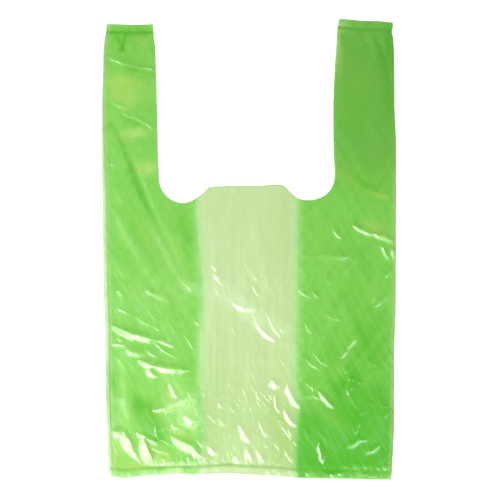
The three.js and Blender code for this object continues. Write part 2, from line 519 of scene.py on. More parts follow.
def area_sum(at, areas):
    """Strength of all areas together at each place, fading out from each area's middle."""
    total = np.zeros(len(at))
    for x, y, half_length, half_width, lean, strength in areas:
        along = np.array([math.cos(math.radians(lean)), math.sin(math.radians(lean))])
        across = np.array([-along[1], along[0]])
        apart = at - (x, y)
        spread = (apart @ along / half_length) ** 2 + (apart @ across / half_width) ** 2
        total += strength * np.exp(-spread)
    return total


# Creases


def unit(vector):
    return vector / np.linalg.norm(vector)


def glint_slopes(place):
    """Slopes of film, by axis, that mirror some part of a softbox to the camera."""
    here = np.array([place[0], place[1], 0])
    to_camera = unit(np.array([0, 0, CAMERA_HEIGHT]) - here)
    for middle, length, _, _ in SOFTBOXES.values():
        lengthwise = unit(np.array([-middle[1], middle[0], 0]))
        for share in np.linspace(-0.4, 0.4, 9):
            halfway = unit(np.array(middle) + share * length * lengthwise - here) + to_camera
            yield halfway[:2] / halfway[2]


class Crease:
    """A ridge along a path. The path is the middle of its lit side, which has the width given.

    shine is 1 where the lit side mirrors a softbox, less where it is flatter, and negative for a groove.
    far is the width of the other side, as a share of the lit side's.
    flare is the share of the width that is lost towards the path's end, or towards its start if negative.
    A soft crease has a rounded ridge and no kinks.
    """

    def __init__(self, path, width, shine=1.0, far=1.0, flare=0.0, soft=False):
        path = np.asarray(path, float)
        heading = unit(path[-1] - path[0])
        facing = np.array([-heading[1], heading[0]])
        slopes = list(glint_slopes(path.mean(axis=0)))
        slope = max(slopes, key=lambda one: abs(facing @ unit(one)))
        if facing @ slope < 0:
            facing = -facing
        self.facing = facing
        path, self.fullness = self.wander(path, width, soft)
        self.path = path - facing * width / 2
        self.steepness = shine * max(facing @ slope, LEAST_STEEPNESS)
        self.lit_width = width
        self.far_width = width * far
        self.flare = flare
        self.bend = 1.0 if width > FLAT_WIDTH else CREASE_BEND
        self.soft = soft
        self.steps = np.diff(self.path, axis=0)
        self.lengths = np.linalg.norm(self.steps, axis=1)
        self.starts = np.concatenate([[0], np.cumsum(self.lengths)])

    def wander(self, path, width, soft):
        """The path with small kinks, and how full the crease is at each of its points."""
        if soft:
            return path, np.ones(len(path))
        draw = np.random.default_rng(int(abs(path).sum() * 100))
        path = resample(path, KINK_SPACING)
        kinks = draw.uniform(-1, 1, len(path)) * KINK_SIZE
        kinks[[0, -1]] = 0
        swell = draw.uniform(-1, 1, len(path)) * min(0.3, 0.6 / width)
        return path + kinks[:, None] * self.facing, 0.9 + swell

    def breadth(self, passed):
        """Share of the full width at a distance along the path."""
        share = passed / self.starts[-1]
        fullness = np.interp(passed, self.starts, self.fullness)
        ends = 1 - abs(2 * share - 1) ** 3
        lost = share if self.flare > 0 else 1 - share
        return fullness * (END_BREADTH + (1 - END_BREADTH) * ends) * (1 - abs(self.flare) * lost)

    def lift(self, at):
        """Height that the crease adds at each place, and how far it covers the place."""
        reach = max(self.lit_width, self.far_width)
        low = self.path.min(axis=0) - reach
        high = self.path.max(axis=0) + reach
        near = np.flatnonzero(((at > low) & (at < high)).all(axis=1))
        place = at[near]
        best = np.full(len(near), np.inf)
        passed = np.zeros(len(near))
        lit = np.zeros(len(near), bool)
        for start, step, length, before in zip(self.path, self.steps, self.lengths, self.starts):
            heading = step / length
            apart = place - start
            run = np.clip(apart @ heading, 0, length)
            away = apart - run[:, None] * heading
            gap = np.linalg.norm(away, axis=1)
            closer = gap < best
            best[closer] = gap[closer]
            passed[closer] = (before + run)[closer]
            lit[closer] = (away @ self.facing > 0)[closer]
        breadth = self.breadth(passed)
        width = np.where(lit, self.lit_width, self.far_width) * breadth
        shape = np.clip(1 - best / width, 0, 1)
        shape = shape * shape * (3 - 2 * shape) if self.soft else shape ** self.bend
        raised = np.zeros(len(at))
        raised[near] = self.steepness * self.lit_width * breadth * shape
        cover = np.zeros(len(at))
        cover[near] = np.clip(2.5 * shape, 0, 1)
        return raised, cover

    def rows(self):
        """Places that the mesh needs to show the crease: its ridge, its feet and rows on its lit side."""
        passed = np.linspace(0, self.starts[-1], max(3, int(self.starts[-1] / CREASE_SPACING) + 1))
        ridge = np.column_stack([np.interp(passed, self.starts, self.path[:, axis]) for axis in (0, 1)])
        if self.soft:
            return ridge
        breadth = self.breadth(passed)[:, None]
        lit_foot = ridge + self.facing * self.lit_width * breadth
        far_foot = ridge - self.facing * self.far_width * breadth
        inner = slice(1, -1)
        rows = [ridge, lit_foot[inner], far_foot[inner]]
        for share in (0.3, 0.7) if self.lit_width > FLAT_WIDTH else (0.5,):
            rows.append((ridge + share * (lit_foot - ridge))[inner])
        return np.vstack(rows)


def crumple(at, cell, stretch, lean, seed):
    """Heights from -1 to 1 of film that was crushed once: flat facets between straight ridges."""
    draw = np.random.default_rng(seed)
    along = np.array([math.cos(lean), math.sin(lean)])
    across = np.array([-along[1], along[0]])
    reach = 260
    stray = 0.45
    first, second = np.meshgrid(
        np.arange(-reach, reach, cell * stretch), np.arange(-reach, reach, cell)
    )
    count = first.size
    first = first.ravel() + draw.uniform(-stray, stray, count) * cell * stretch
    second = second.ravel() + draw.uniform(-stray, stray, count) * cell
    nodes = first[:, None] * along + second[:, None] * across
    heights = draw.uniform(-1, 1, count)
    found = delaunay_2d_cdt([Vector(node) for node in nodes], [], [], 0, MERGE_DISTANCE, True)
    corners = [(node.x, node.y, heights[source[0]]) for node, source in zip(found[0], found[3])]
    tree = BVHTree.FromPolygons(corners, found[2])
    down = Vector((0, 0, -1))
    hits = [tree.ray_cast(Vector((point[0], point[1], 5)), down)[0] for point in at]
    return np.array([hit.z for hit in hits])


# Creases that the bag shows: path, width, shine, far and flare
MAIN_PATHS = [
    # left handle
    ([(-99, 132), (-84, 126.5), (-66, 122.5)], 3, 0.72, 0.7),
    ([(-96, 101), (-90, 98), (-83, 97)], 2.2, 0.58),
    ([(-89, 93.5), (-79, 90), (-72, 86.5), (-65.5, 82)], 2.6, 0.64),
    # left side, glints
    ([(-77, -32), (-71, -41), (-64.5, -50)], 1.6, 0.6),
    ([(-72, -30), (-62.5, -33.5), (-55, -38)], 4.4, 0.62, 1, 0.4),
    ([(-90.5, -41.5), (-75, -49), (-61, -57)], 1.8, 0.5),
    ([(-49, -18), (-44, -25)], 2.2, 0.55),
    ([(-44, -24), (-40, -30)], 2.6, 0.75),
    ([(-95.5, -55), (-84, -59), (-72, -62.5), (-63, -65)], 5.4, 1, 0.6),
    ([(-91.5, -62), (-86, -64.5)], 2.2, 0.6),
    ([(-64, -63), (-57, -65.5), (-51.5, -68.5)], 2.6, 0.8),
    ([(-94.5, -66.5), (-84, -66.5)], 1.6, 0.9),
    ([(-85, -71), (-78, -73), (-71, -74.5)], 4.8, 0.6),
    ([(-73, -69.5), (-61, -76)], 2.4, 0.8),
    ([(-77, -78.5), (-66, -82.5), (-53, -84), (-40, -86)], 5.4, 1, 0.6),
    ([(-71, -83.5), (-64, -89.5)], 4, 1),
    ([(-64.5, -66), (-57, -71.5), (-49, -76)], 1.9, 0.8, 1, -0.4),
    ([(-39.5, -46.5), (-33.5, -54)], 1.5, 0.8),
    ([(-45, -59.5), (-36.5, -71.5)], 1.6, 0.65),
    ([(-56, -93), (-49.5, -105)], 3.4, 1, 0.6),
    ([(-66, -113.5), (-55, -110), (-47, -106), (-40.5, -104.5)], 5.2, 1, 0.6),
    ([(-57, -114), (-47, -110.5)], 2.6, 0.9, 0.7),
    ([(-61.5, -107), (-59.5, -112)], 1.6, 0.9),
    ([(-46.5, -115.5), (-37.5, -123)], 7.5, 1, 0.6),
    ([(-54.5, -122), (-48, -125)], 2.8, 0.9),
    ([(-34.5, -122), (-31, -127)], 1.8, 0.9),
    ([(-38, -111), (-33.5, -120)], 2.4, 0.8),
    ([(-51, -117.5), (-45, -122.5)], 2.8, 0.9),
    ([(-43, -96), (-38.5, -106)], 2.2, 0.75),
    # bottom left corner
    ([(-95, -129.5), (-86, -127.5)], 6, 1, 0.6, -0.4),
    ([(-89.5, -127), (-78, -149.5)], 9, 1, 0.35, 0.7),
    ([(-77.5, -130), (-70, -149.5)], 10, 1, 0.35, -0.6),
    ([(-78, -127), (-63.5, -135)], 2.6, 1, 0.7),
    ([(-55, -132), (-41, -137), (-33.5, -147)], 7, 1, 0.5),
    ([(-67.5, -138), (-53, -142.5)], 1.6, 0.7),
    ([(-41, -146), (-36, -151)], 2.6, 0.9),
    ([(-37, -130), (-32.5, -137)], 2.6, 0.85),
    # middle
    ([(-19, -30.5), (-12, -38)], 2.6, 0.78, 0.7),
    ([(-12, -38.5), (-6, -41.5), (4.5, -43)], 5, 0.82, 0.7),
    ([(1, -45.5), (4, -50), (8, -56), (17, -65)], 4.4, 0.78, 0.7),
    ([(-27, -9), (-22, -17)], 3.2, 0.75),
    ([(-24.5, -16), (-18.5, -26)], 3.6, 0.75),
    ([(-2.5, -10.5), (5.5, -22.5)], 2.2, 0.7),
    ([(1.5, -24.5), (6.5, -33)], 2.2, 0.7),
    ([(9.5, -41), (21.5, -62)], 2.4, 0.68),
    ([(20, -51), (23.5, -58.5)], 2, 0.7),
    ([(18, -71), (32, -92)], 1.8, 0.65),
    ([(-3, -70.5), (0, -80.5), (3, -91.5)], 2, 0.6),
    ([(-28.5, -90), (-22.5, -95)], 1.6, 0.7),
    ([(-16, -89.5), (-10.5, -100)], 2, 0.65),
    ([(14, -90), (19, -96.5)], 5, 0.85, 0.7),
    ([(24.5, -92.5), (27.5, -101), (33, -110.5)], 4.4, 1, 0.7),
    ([(23, -111.5), (27, -117.5), (32, -123)], 3.4, 0.9, 0.7),
    ([(-22.5, -115), (-18, -123)], 3.8, 0.85, 0.7),
    ([(-16.5, -126), (-13.5, -130)], 2, 0.7),
    ([(-8.5, -121), (-4, -128.5), (-1, -135)], 4.6, 1, 0.7),
    ([(-3.5, -136.5), (1, -148)], 4.8, 1, 0.7),
    ([(3.5, -137.5), (9, -149)], 4.8, 1, 0.7, -0.4),
    ([(-12, -133), (-7.5, -145)], 1.7, 0.7),
    ([(-11, -141.5), (-8, -148.5)], 3.6, 0.95),
    ([(-29, -137), (-22, -143)], 4, 0.9),
    ([(6, -119), (11.5, -130.5)], 3.2, 0.95, 0.7),
    ([(23.5, -138), (29.5, -148)], 2.8, 0.9),
    ([(22.5, -143), (25, -149)], 1.6, 0.7),
    # right side
    ([(70.5, 15), (78, 12), (87, 8.5)], 3.6, 0.82, 0.7),
    ([(84, 10), (92, 7.5), (100, 4)], 3.8, 0.92),
    ([(88.5, 3.5), (92, -1), (95.5, -8)], 2.8, 0.9),
    ([(97, 0.5), (101.5, -8)], 3.6, 1),
    ([(57.5, 14), (63, 6.5)], 2.4, 0.94),
    ([(33.5, -28.5), (41.5, -34)], 2.6, 0.75),
    ([(43.5, -29.5), (48.5, -35)], 2.6, 0.75),
    ([(52, -46), (63, -50)], 2.8, 0.62),
    ([(38, -50.5), (42.5, -59.5)], 2.4, 0.81),
    ([(42.5, -71), (53.5, -81.5)], 2.6, 0.81),
    ([(38, -75.5), (47.5, -84)], 2.6, 0.88),
    ([(79.5, -58), (73.5, -63), (68, -71), (64.5, -77)], 4.4, 1),
    ([(64.5, -79.5), (65.5, -86)], 2.4, 0.88),
    ([(91.5, -25), (85.5, -37.5)], 2.6, 0.94),
    ([(98, -30.5), (87, -40.5)], 2.6, 0.94),
    ([(100, -12.5), (94.5, -20.5)], 2.6, 1),
    ([(38, -92), (46, -99)], 3, 0.81),
    ([(48, -100.5), (39, -103)], 2.8, 0.88),
    ([(42, -96), (47, -104)], 2.6, 0.75),
    ([(46.5, -98), (57.5, -110)], 3.4, 1, 0.7),
    ([(48, -133), (48, -139.5), (50, -148)], 3.2, 0.94),
    ([(68, -138), (77, -132), (82, -133)], 2.8, 0.94),
    ([(81.5, -142), (91, -136)], 2.8, 0.88),
    # right handle
    ([(86.5, 146), (93, 131), (97.5, 109)], 2.6, -0.4),
    ([(79, 146), (87, 134)], 2, -0.3),
]

# Broad folds with rounded ridges
SOFT_PATHS = [
    ([(-94, 87), (-82, 60), (-77.5, 48), (-66.5, 20.5), (-46, -19)], 4.5, -0.35, 0.8),
    ([(-96, 29), (-86, 12), (-72, -12)], 5, 0.18, 0.8),
    ([(-70, 24), (-60, 4), (-49, -18)], 5, 0.2, 0.8),
    ([(-93, 70), (-96, 45), (-88, 30)], 5, 0.15),
    ([(-88, -98), (-84, -118)], 5, 0.18),
    ([(-75, -92), (-70, -118)], 6, 0.18),
    ([(49.5, -5.5), (70.5, -7)], 4, 0.6),
    ([(70, -81.5), (67, -100)], 3, 0.5),
    ([(-20, 20), (-24, -20), (-20, -40)], 6, 0.3),
    ([(2, 36), (4, 5), (10, -25)], 6, 0.3),
]

MAIN_CREASES = [Crease(*sizes) for sizes in MAIN_PATHS]
SOFT_FOLDS = [Crease(*sizes, soft=True) for sizes in SOFT_PATHS]

# Small creases: lengths, widths, how far their leans scatter, and how far off the main ones they keep
SMALL_LENGTHS = (4, 15)
SMALL_WIDTHS = (1.0, 2.4)
SMALL_LEAN_SCATTER = 12
MAIN_CLEARANCE = 4
PULLED_LENGTHS = (8, 22)
PULLED_WIDTHS = (1.3, 2.6)
PULLED_LEAN_SCATTER = 9
GATHER_WIDTHS = (1.5, 2.6)
GATHER_LEAN = 0.25
GATHER_LEAN_SCATTER = 0.2
GATHER_START = 0.5


def crinkle_share(at):
    """How crinkled the film is: least in the right handle and the upper middle, most towards the bottom."""
    x, y = at.T
    low = smooth(y, 50, -110)
    left = smooth(x, 70, -60)
    in_left_handle = smooth(x, -45, -70) * smooth(y, 40, 70)
    share = 0.08 + 0.4 * low + 0.1 * low * left + 0.08 * left + 0.25 * in_left_handle
    return share * (1 - 0.7 * np.clip(area_sum(at, CLING_AND_PAINTED_LIGHT_AREAS), 0, 1))


def scattered_creases(count, across, along, leans, most_shine, seed):
    """Small creases in a stretch across and along the bag, off the main ones, by the leans given."""
    draw = np.random.default_rng(seed)
    main_rows = near_tree(np.vstack([crease.rows() for crease in MAIN_CREASES]))
    made = []
    while len(made) < count:
        x = draw.uniform(*across)
        y = draw.uniform(*along)
        wanted = draw.uniform()
        lean = math.radians(draw.choice(leans) + draw.normal(0, SMALL_LEAN_SCATTER))
        length = draw.uniform(*SMALL_LENGTHS)
        width = draw.uniform(*SMALL_WIDTHS)
        shine = draw.uniform(0.5, 1) * most_shine
        share = crinkle_share(np.array([[x, y]]))[0]
        near_main = main_rows.find((x, y, 0))[2] < MAIN_CLEARANCE
        if wanted > share or near_main:
            continue
        step = np.array([math.cos(lean), math.sin(lean)]) * length / 2
        middle = np.array([x, y])
        made.append(Crease([middle - step, middle + step], width, shine, draw.uniform(0.6, 1.2)))
    return made


def pulled_folds(count, across, along, lean, most_shine, seed):
    """Long shallow folds in a stretch across and along the bag, where it was pulled along the lean."""
    draw = np.random.default_rng(seed)
    made = []
    for _ in range(count):
        middle = np.array([draw.uniform(*across), draw.uniform(*along)])
        turned = math.radians(draw.normal(lean, PULLED_LEAN_SCATTER))
        length = draw.uniform(*PULLED_LENGTHS)
        step = np.array([math.cos(turned), math.sin(turned)]) * length / 2
        width = draw.uniform(*PULLED_WIDTHS)
        shine = draw.uniform(0.4, 1) * most_shine
        made.append(Crease([middle - step, middle + step], width, shine, soft=True))
    return made


def gathers(weld_y, low_x, high_x, heading, spacing, longest, shine, seed):
    """Short puckers that start at a weld, where the film is drawn in."""
    draw = np.random.default_rng(seed)
    made = []
    x = low_x
    while x < high_x:
        length = draw.uniform(0.4, 1) * longest
        lean = draw.normal(GATHER_LEAN * -heading, GATHER_LEAN_SCATTER)
        start = lie(x, weld_y + heading * GATHER_START)
        end = lie(x + lean * length * heading, weld_y + heading * (GATHER_START + length))
        strength = draw.uniform(0.6, 1.1) * shine
        made.append(Crease([start, end], draw.uniform(*GATHER_WIDTHS), strength))
        x += draw.uniform(0.5, 1.5) * spacing
    return made


SMALL_CREASES = (
    gathers(BOTTOM_WELD, -94, -32, 1, 4.5, 7, 0.5, 11)
    + gathers(BOTTOM_WELD, -64, -34, 1, 2.2, 9, 1.0, 27)
    + gathers(BOTTOM_WELD, -32, 14, 1, 2.6, 13, 1.0, 17)
    + gathers(BOTTOM_WELD, 14, 98, 1, 3.2, 6, 0.7, 18)
    + gathers(BOTTOM_WELD, -96, 98, -1, 2.8, 5.0, 1.1, 12)
    + gathers(TOP_WELD, -96, -68, -1, 5, 10, 0.4, 13)
    + gathers(TOP_WELD, 64, 97, -1, 4, 14, 0.4, 14)
    + scattered_creases(10, (-97, -34), (-80, -20), (-15, -30, -60), 0.4, 7)
    + scattered_creases(14, (-66, -34), (-150, -80), (-30, -60, 25, -80), 0.5, 26)
    + scattered_creases(16, (-97, -68), (55, 146), (-15, 20, -50, 40), 0.35, 24)
    + scattered_creases(24, (-34, 34), (-120, 0), (-60, -75, -50, 20), 0.6, 19)
    + scattered_creases(46, (-34, 34), (-150, -95), (-60, -70, -50), 0.95, 25)
    + scattered_creases(40, (34, 98), (-150, 30), (50, 60, -45, -60, -20), 0.6, 20)
    + pulled_folds(30, (36, 74), (-135, 25), -55, 0.46, 8)
    + pulled_folds(22, (62, 96), (-110, 5), 55, 0.5, 10)
    + pulled_folds(26, (-30, 34), (-146, -25), -62, 0.65, 9)
    + pulled_folds(14, (-92, -40), (-70, -15), -55, 0.42, 15)
)

CREASES = MAIN_CREASES + SOFT_FOLDS + SMALL_CREASES

# Crumpling between the creases: its lean, its heights, and the share that a main crease irons out
CRUMPLE_LEAN = math.radians(-58)
BROAD_CRUMPLE = 0.35
SMALL_CRUMPLE = 0.6
FINE_CRUMPLE = 0.3
IRONED_SHARE = 0.85


def main_cover(at):
    """How far the main creases cover each place, from 0 to 1."""
    cover = np.zeros(len(at))
    for crease in MAIN_CREASES:
        cover = np.maximum(cover, crease.lift(at)[1])
    return cover


def tallest(creases, at):
    """Height of several creases. Where they cross, the tallest one stands and the deepest one sinks."""
    raised = np.zeros(len(at))
    sunk = np.zeros(len(at))
    for crease in creases:
        lift = crease.lift(at)[0]
        raised = np.maximum(raised, lift)
        sunk = np.minimum(sunk, lift)
    return raised + sunk


def relief(at):
    """Height of all creases together, at places where the bag lies."""
    main = tallest(MAIN_CREASES, at) + tallest(SOFT_FOLDS, at)
    small = tallest(SMALL_CREASES, at)
    share = crinkle_share(at)
    small += share * SMALL_CRUMPLE * crumple(at, 12, 2.0, CRUMPLE_LEAN, 21)
    small += share * FINE_CRUMPLE * crumple(at, 6, 1.4, CRUMPLE_LEAN + 0.9, 22)
    broad = BROAD_CRUMPLE * crumple(at, 34, 1.8, CRUMPLE_LEAN - 0.2, 23)
    return broad + main + small * (1 - IRONED_SHARE * main_cover(at))


# Heights of the plies


def loft(x, y):
    """Height of the uncreased front panel over the surface."""
    from_weld = np.minimum(y - BOTTOM_WELD, TOP_WELD - y) - WELD_WIDTH / 2
    slack = smooth(from_weld, 0, SLACK_RISE)
    skirt = smooth(-from_weld - WELD_WIDTH, 0, WELD_SKIRT)
    over_gusset = smooth(abs(x), TIP_X - SINK_WIDTH, TIP_X)
    by_side = smooth(abs(x), SIDE_X - SIDE_EASE, SIDE_X)
    full = MIDDLE_LOFT + (GUSSET_LOFT - MIDDLE_LOFT) * over_gusset
    full = full - (full - SIDE_LOFT) * by_side
    return WELD_LOFT + (full - WELD_LOFT) * slack + SKIRT_LOFT * skirt


def stand(x, y, at):
    """Height of the front panel with its creases."""
    from_weld = np.minimum(abs(y - BOTTOM_WELD), abs(y - TOP_WELD)) - WELD_WIDTH / 2
    free = WELD_RELIEF + (1 - WELD_RELIEF) * smooth(from_weld, 0, RELIEF_RISE)
    raw = loft(x, y) + free * relief(at)
    return LEAST_LOFT + LOFT_SOFTNESS * np.logaddexp(0, (raw - LEAST_LOFT) / LOFT_SOFTNESS)


def nose(gap):
    """Rounding of a fold: 0 at the fold, 1 where the plies run flat."""
    share = np.clip(gap / FOLD_RADIUS, 0, 1)
    return np.sqrt(1 - (1 - share) ** 2)


FRONT, GUSSET_FRONT, GUSSET_BACK, BACK = 3, 2, 1, 0


def ply_height(ply, x, y, at):
    height = stand(x, y, at)
    pinch = (1 - nose(SIDE_X - abs(x))) / 6
    tip = (1 - nose(abs(x) - TIP_X)) / 6
    wave = PLY_WAVE * np.sin(at[:, 0] / 9 + at[:, 1] / 17 + ply) * np.sin(at[:, 1] / 23 - ply)
    held = (1 - 6 * pinch) * (1 - 6 * tip)
    share = {
        FRONT: 1 - pinch,
        GUSSET_FRONT: 2 / 3 + pinch - tip + wave * held,
        GUSSET_BACK: 1 / 3 - pinch + tip + wave * held,
        BACK: pinch + BACK_STAND * (1 - 6 * pinch),
    }[ply]
    return REST_GAP + share * height


# The film


def plies():
    """Each ply's flat mesh, with faces turned to the outside of the tube."""
    hidden = HIDDEN_SPACING
    sides = (-SIDE_X, SIDE_X)
    outline = panel_outline(FRONT_SPACING)
    points, faces = ply_mesh(outline, FRONT_SPACING, *sides, sides, crease_rows())
    yield FRONT, points, faces
    points, faces = ply_mesh(panel_outline(hidden / 2), hidden, *sides, sides)
    yield BACK, points, faces[:, ::-1]
    for side in (-1, 1):
        outline = gusset_outline(side, hidden / 2)
        low_x, high_x = sorted((side * SIDE_X, side * TIP_X))
        points, faces = ply_mesh(outline, hidden, low_x, high_x, (low_x, high_x))
        yield GUSSET_FRONT, points, faces[:, ::-1]
        yield GUSSET_BACK, points, faces


def fold_keys(ply, points, first):
    """One number for each vertex. Vertices of two plies that meet in a fold get the same one."""
    keys = -1 - (first + np.arange(len(points)))
    x, y = points.T
    height_key = np.round((y - BOTTOM_Y) * 1000).astype(np.int64)
    on_side = abs(abs(x) - SIDE_X) < ON_FOLD
    pair = 2 if ply in (FRONT, GUSSET_FRONT) else 1
    keys = np.where(on_side, (pair * 10 + np.sign(x) + 2).astype(np.int64) * 10 ** 7 + height_key, keys)
    if ply in (GUSSET_FRONT, GUSSET_BACK):
        on_tip = abs(abs(x) - TIP_X) < ON_FOLD
        keys = np.where(on_tip, (40 + np.sign(x)).astype(np.int64) * 10 ** 7 + height_key, keys)
    return keys


def film_surface():
    """Middle surface of the film: places, faces, the faces' panels, places on the pattern, and plies."""
    places, faces, panels, pattern, owner, keys = [], [], [], [], [], []
    first = 0
    for panel, (ply, points, triangles) in enumerate(plies()):
        x, y = points.T
        moved = np.column_stack(lie(x, y))
        if ply in (FRONT, GUSSET_FRONT):
            moved[:, 0] += slip(x, y)
        places.append(np.column_stack([moved, ply_height(ply, x, y, moved)]))
        faces.append(triangles + first)
        panels.append(np.full(len(triangles), panel))
        pattern.append(points)
        owner.append(np.full(len(points), ply))
        keys.append(fold_keys(ply, points, first))
        first += len(points)
    parts = (places, faces, panels, pattern, owner, keys)
    places, faces, panels, pattern, owner, keys = map(np.concatenate, parts)
    _, chosen, index = np.unique(keys, return_index=True, return_inverse=True)
    return places[chosen], index[faces], panels, pattern[chosen], owner[chosen]


def vertex_normals(places, faces):
    corners = places[faces]
    face_normals = np.cross(corners[:, 1] - corners[:, 0], corners[:, 2] - corners[:, 0])
    normals = np.zeros_like(places)
    for corner in range(3):
        np.add.at(normals, faces[:, corner], face_normals)
    return normals / np.linalg.norm(normals, axis=1)[:, None]


def border_edges(faces):
    """Edges that only one face has, in that face's direction, and that face's number."""
    edges = np.vstack([faces[:, [0, 1]], faces[:, [1, 2]], faces[:, [2, 0]]])
    size = faces.max() + 1
    codes = edges[:, 0] * size + edges[:, 1]
    turned = edges[:, 1] * size + edges[:, 0]
    alone = ~np.isin(codes, turned)
    return edges[alone], np.tile(np.arange(len(faces)), 3)[alone]


# The panels lie side by side on the map: outer skins in one row, inner skins in the other
PANEL_LOWS = (-SIDE_X, -SIDE_X, -SIDE_X, -SIDE_X, TIP_X, TIP_X)
PANEL_WIDTHS = (2 * SIDE_X, 2 * SIDE_X, GUSSET_DEPTH, GUSSET_DEPTH, GUSSET_DEPTH, GUSSET_DEPTH)
MAP_GAP = 5
MAP_SIDE = 700


def map_places(pattern, corners, panels, skin):
    """Places on the map, from 0 to 1, of the corners of faces on one skin."""
    starts = MAP_GAP + np.concatenate([[0], np.cumsum(np.add(PANEL_WIDTHS, MAP_GAP))[:-1]]) - PANEL_LOWS
    across = pattern[corners, 0] + starts[panels][:, None]
    along = pattern[corners, 1] - BOTTOM_Y + MAP_GAP + skin * (TOP_Y - BOTTOM_Y + MAP_GAP)
    return np.stack([across, along], axis=-1).reshape(-1, 2) / MAP_SIDE


# Widths over which a weld's tone, the gusset's tone and the gusset's film fade, and the bottom weld's share
WELD_BLUR = (0.4, 1.2)
TIP_BLUR = 4
TIP_FADE = 6
BOTTOM_WELD_TONE = 0.5


# The right handle, where the colour gets painted shade and the plies are not parted
def in_right_handle(x, y):
    return smooth(y, 30, 70) * (x > 0)


def parted_share(x, y, ply):
    """How far the plies part: the front ones beside the side folds, and all at the bottom cut."""
    beside_fold = (1 - smooth(SIDE_X - abs(x), 0.3, PARTED_WIDTH)) * np.where(ply >= GUSSET_FRONT, 1, 0.2)
    by_cut = 0.4 + 0.9 * smooth(x, -20, -50) + 0.5 * smooth(x, 20, 50)
    by_cut = by_cut * (1 - smooth(y - BOTTOM_Y, 0.5 * WELD_SKIRT, 1.1 * WELD_SKIRT))
    return np.maximum(beside_fold * (1 - in_right_handle(x, y)), by_cut)


def add_object(name, data):
    made = bpy.data.objects.new(name, data)
    scene.collection.objects.link(made)
    return made


def add_number(mesh, name, values):
    attribute = mesh.attributes.new(name, "FLOAT", "POINT")
    attribute.data.foreach_set("value", np.asarray(values, np.float32))


def make_bag():
    places, faces, panels, pattern, ply = film_surface()
    normals = vertex_normals(places, faces)
    half = normals * FILM_THICKNESS / 2
    count = len(places)
    border, border_faces = border_edges(faces)
    rim = np.column_stack([border[:, 1], border[:, 0], border[:, 0] + count, border[:, 1] + count])
    shell = np.vstack([places + half, places - half]) * MM
    mesh = bpy.data.meshes.new("bag_film")
    mesh.from_pydata(shell.tolist(), [], faces.tolist() + (faces[:, ::-1] + count).tolist() + rim.tolist())
    on_map = np.vstack([
        map_places(pattern, faces, panels, 0),
        map_places(pattern, faces[:, ::-1], panels, 1),
        map_places(pattern, rim % count, panels[border_faces], 0),
    ])
    mesh.uv_layers.new(name="OFBake").uv.foreach_set("vector", on_map.ravel().astype(np.float32))
    mesh.polygons.foreach_set("use_smooth", np.ones(len(mesh.polygons), bool))
    mesh.set_sharp_from_angle(angle=math.radians(CREASE_ANGLE))
    x, y = pattern.T
    cut_gap = gaps_to(near_tree(np.vstack(cut_edges(OUTLINE_SPACING))), pattern)
    side_gap = SIDE_X - abs(x)
    weld_gap = np.minimum(abs(y - BOTTOM_WELD), abs(y - TOP_WELD))
    in_gusset = (ply == GUSSET_FRONT) | (ply == GUSSET_BACK)
    at = places[:, :2]
    numbers = {
        "edge_gap": np.minimum(cut_gap, side_gap),
        "side_gap": side_gap,
        "parted": parted_share(x, y, ply),
        # Painted shade: the right handle is coloured duller and darker, as where the light falls off
        "handle_shade": in_right_handle(x, y),
        "welded": (1 - smooth(weld_gap, *WELD_BLUR)) * np.where(y > 0, 1, BOTTOM_WELD_TONE),
        "over_gusset": smooth(abs(x), TIP_X - TIP_BLUR, TIP_X + TIP_BLUR),
        "from_tip": np.where(in_gusset, smooth(abs(x), TIP_X - 0.5, TIP_X + TIP_FADE), 1),
        # Clinging and parting of the plies, with painted shade and painted highlights
        "cling_and_painted_light": area_sum(at, CLING_AND_PAINTED_LIGHT_AREAS),
        "sallow": area_sum(at, SALLOW_AREAS),
        "crinkle": crinkle_share(at),
    }
    for name, values in numbers.items():
        add_number(mesh, name, np.tile(values, 2))
    return add_object("film_bag", mesh)


# Finishes


def joining(operation, turned=False):
    """A method that joins a value to another one by a Math node."""
    def join(self, other):
        first, second = (other, self) if turned else (self, other)
        return self.finish.node("ShaderNodeMath", {"operation": operation}, {0: first, 1: second})
    return join


class Shade:
    """One value in a material. Sums and products of it add Math nodes."""

    def __init__(self, finish, socket):
        self.finish = finish
        self.socket = socket

    __add__ = joining("ADD")
    __radd__ = joining("ADD", turned=True)
    __sub__ = joining("SUBTRACT")
    __rsub__ = joining("SUBTRACT", turned=True)
    __mul__ = joining("MULTIPLY")
    __rmul__ = joining("MULTIPLY", turned=True)


class Finish:
    """A material whose nodes are added one call at a time."""

    def __init__(self, name):
        self.material = bpy.data.materials.new(name)
        self.material.use_nodes = True
        self.tree = self.material.node_tree
        self.tree.nodes.clear()

    def node(self, kind, settings=None, inputs=None, output=0):
        made = self.tree.nodes.new(kind)
        for name, value in (settings or {}).items():
            setattr(made, name, value)
        for name, value in (inputs or {}).items():
            if isinstance(value, Shade):
                self.tree.links.new(value.socket, made.inputs[name])
            else:
                made.inputs[name].default_value = value
        return Shade(self, made.outputs[output]) if made.outputs else None

    def surfaced(self, inputs):
        """The finished material. Its surface has these inputs."""
        shader = self.node("ShaderNodeBsdfPrincipled", {}, inputs)
        self.node("ShaderNodeOutputMaterial", {}, {"Surface": shader})
        return self.material

    def number(self, name):
        return self.node("ShaderNodeAttribute", {"attribute_name": name}, output="Fac")

    def ease(self, value, start, end):
        return self.node(
            "ShaderNodeMapRange",
            {"interpolation_type": "SMOOTHSTEP"},
            {"Value": value, "From Min": start, "From Max": end},
        )

    def mixed(self, share, first, second):
        return self.node("ShaderNodeMix", {"data_type": "RGBA"}, {0: share, 6: first, 7: second}, output=2)

    def noise(self, place, detail, roughness=0.5, scale=1.0):
        return self.node(
            "ShaderNodeTexNoise",
            {},
            {"Vector": place, "Scale": scale, "Detail": detail, "Roughness": roughness},
        )

    def stretched(self, place, factor, turn=0.0):
        """Places turned and then scaled, for a pattern that runs along one direction."""
        return self.node(
            "ShaderNodeMapping",
            {"vector_type": "TEXTURE"},
            {"Vector": place, "Rotation": (0, 0, -turn), "Scale": [1 / one for one in factor]},
        )


